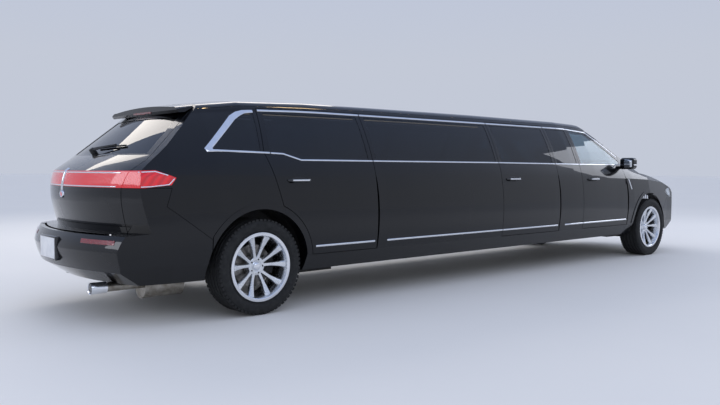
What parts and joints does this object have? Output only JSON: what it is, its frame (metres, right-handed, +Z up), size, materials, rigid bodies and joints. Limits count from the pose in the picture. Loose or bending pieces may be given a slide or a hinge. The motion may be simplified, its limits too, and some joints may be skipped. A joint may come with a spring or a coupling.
{
  "type": "stretch limousine",
  "caption": "Long black crossover-based limousine with hinged doors, liftgate and hood, steered front wheels, tinted side glass and a lounge cabin behind a partition.",
  "frame": {"origin": "on the ground, midway between tail and nose, on the car's centre plane", "axes": "+X forward to the nose, +Y to the driver's left, +Z up"},
  "size_m": [8.3222, 2.176, 1.7157],
  "materials": {
    "black_paint": "gloss",
    "tinted_glass": "gloss",
    "red_lamp": "gloss",
    "clear_lamp": "gloss",
    "chrome_trim": "polished",
    "polished_alloy": "polished",
    "tyre_rubber": "matte",
    "cast_iron": "machined",
    "chassis_steel": "satin",
    "black_plastic": "satin",
    "black_leather": "satin",
    "cabin_trim": "satin",
    "bar_wood": "gloss",
    "exhaust_steel": "satin",
    "carpet_floor": "satin"
  },
  "bodies": {
    "body": {"body_side_right": "black_paint", "body_side_left": "black_paint", "roof": "black_paint", "front_fenders": "black_paint", "front_bumper": "black_paint", "rear_bumper": "black_paint", "grille": "chrome_trim", "headlamps": "clear_lamp", "quarter_lamps": "red_lamp", "windscreen": "tinted_glass", "fixed_side_glass": "tinted_glass", "bulkhead": "chassis_steel", "floor_pan": "carpet_floor", "frame_rails": "chassis_steel", "front_aprons": "chassis_steel", "front_subframe": "chassis_steel", "rear_subframe": "chassis_steel", "engine": "cast_iron", "radiator": "polished_alloy", "fuel_tank": "black_plastic", "exhaust": "exhaust_steel", "dashboard": "cabin_trim", "front_seats": "black_leather", "partition": "cabin_trim", "rear_bench": "black_leather", "side_lounge": "black_leather", "bar_cabinet": "bar_wood"},
    "hood": {"hood": "black_paint"},
    "liftgate": {"liftgate": "black_paint", "liftgate_glass": "tinted_glass", "liftgate_lamp": "red_lamp"},
    "steering_wheel": {"steering_wheel": "black_leather"},
    "rear_door_right": {"rear_door_right": "black_paint", "rear_door_glass_right": "tinted_glass"},
    "fifth_door_right": {"fifth_door_right": "black_paint", "fifth_door_glass_right": "tinted_glass"},
    "front_door_right": {"front_door_right": "black_paint", "front_door_glass_right": "tinted_glass"},
    "rear_door_left": {"rear_door_left": "black_paint", "rear_door_glass_left": "tinted_glass"},
    "front_door_left": {"front_door_left": "black_paint", "front_door_glass_left": "tinted_glass"},
    "knuckle_right": {"knuckle_right": "cast_iron"},
    "wheel_front_right": {"tyre_front_right": "tyre_rubber", "rim_front_right": "polished_alloy", "brake_disc_front_right": "cast_iron"},
    "wheel_rear_right": {"tyre_rear_right": "tyre_rubber", "rim_rear_right": "polished_alloy", "brake_disc_rear_right": "cast_iron"},
    "knuckle_left": {"knuckle_left": "cast_iron"},
    "wheel_front_left": {"tyre_front_left": "tyre_rubber", "rim_front_left": "polished_alloy", "brake_disc_front_left": "cast_iron"},
    "wheel_rear_left": {"tyre_rear_left": "tyre_rubber", "rim_rear_left": "polished_alloy", "brake_disc_rear_left": "cast_iron"}
  },
  "joints": [
    {"name": "hood_hinge", "type": "hinge", "parent": "body", "child": "hood", "pos_m": [2.9605, 0, 1.075], "axis": [0, -1, 0], "range_deg": [0, 45]},
    {"name": "liftgate_hinge", "type": "hinge", "parent": "body", "child": "liftgate", "pos_m": [-3.1645, 0, 1.53], "axis": [0, 1, 0], "range_deg": [0, 75]},
    {"name": "rear_door_right_hinge", "type": "hinge", "parent": "body", "child": "rear_door_right", "pos_m": [-1.709, -0.92, 0.78], "axis": [0, 0, 1], "range_deg": [0, 65]},
    {"name": "fifth_door_right_hinge", "type": "hinge", "parent": "body", "child": "fifth_door_right", "pos_m": [1.055, -0.92, 0.78], "axis": [0, 0, 1], "range_deg": [0, 65]},
    {"name": "front_door_right_hinge", "type": "hinge", "parent": "body", "child": "front_door_right", "pos_m": [2.545, -0.92, 0.78], "axis": [0, 0, 1], "range_deg": [0, 65]},
    {"name": "rear_door_left_hinge", "type": "hinge", "parent": "body", "child": "rear_door_left", "pos_m": [-1.709, 0.92, 0.78], "axis": [0, 0, -1], "range_deg": [0, 65]},
    {"name": "front_door_left_hinge", "type": "hinge", "parent": "body", "child": "front_door_left", "pos_m": [2.545, 0.92, 0.78], "axis": [0, 0, -1], "range_deg": [0, 65]},
    {"name": "steer_right", "type": "hinge", "parent": "body", "child": "knuckle_right", "pos_m": [3.1505, -0.672, 0.369], "axis": [0, 0, 1], "range_deg": [-32, 32]},
    {"name": "wheel_front_right_spin", "type": "hinge", "parent": "knuckle_right", "child": "wheel_front_right", "pos_m": [3.1505, -0.8315, 0.369], "axis": [0, 1, 0], "continuous": true},
    {"name": "wheel_rear_right_spin", "type": "hinge", "parent": "body", "child": "wheel_rear_right", "pos_m": [-2.8925, -0.8315, 0.369], "axis": [0, 1, 0], "continuous": true},
    {"name": "steer_left", "type": "hinge", "parent": "body", "child": "knuckle_left", "pos_m": [3.1505, 0.672, 0.369], "axis": [0, 0, 1], "range_deg": [-32, 32]},
    {"name": "wheel_front_left_spin", "type": "hinge", "parent": "knuckle_left", "child": "wheel_front_left", "pos_m": [3.1505, 0.8315, 0.369], "axis": [0, 1, 0], "continuous": true},
    {"name": "wheel_rear_left_spin", "type": "hinge", "parent": "body", "child": "wheel_rear_left", "pos_m": [-2.8925, 0.8315, 0.369], "axis": [0, 1, 0], "continuous": true},
    {"name": "steering_wheel_turn", "type": "hinge", "parent": "body", "child": "steering_wheel", "pos_m": [2.1305, 0.4, 0.99], "axis": [0.9063, 0, -0.4226], "range_deg": [-480, 480]}
  ],
  "couplings": [
    {"joint": "steer_left", "follows": "steer_right", "ratio": 1},
    {"joint": "steering_wheel_turn", "follows": "steer_right", "ratio": -15}
  ]
}
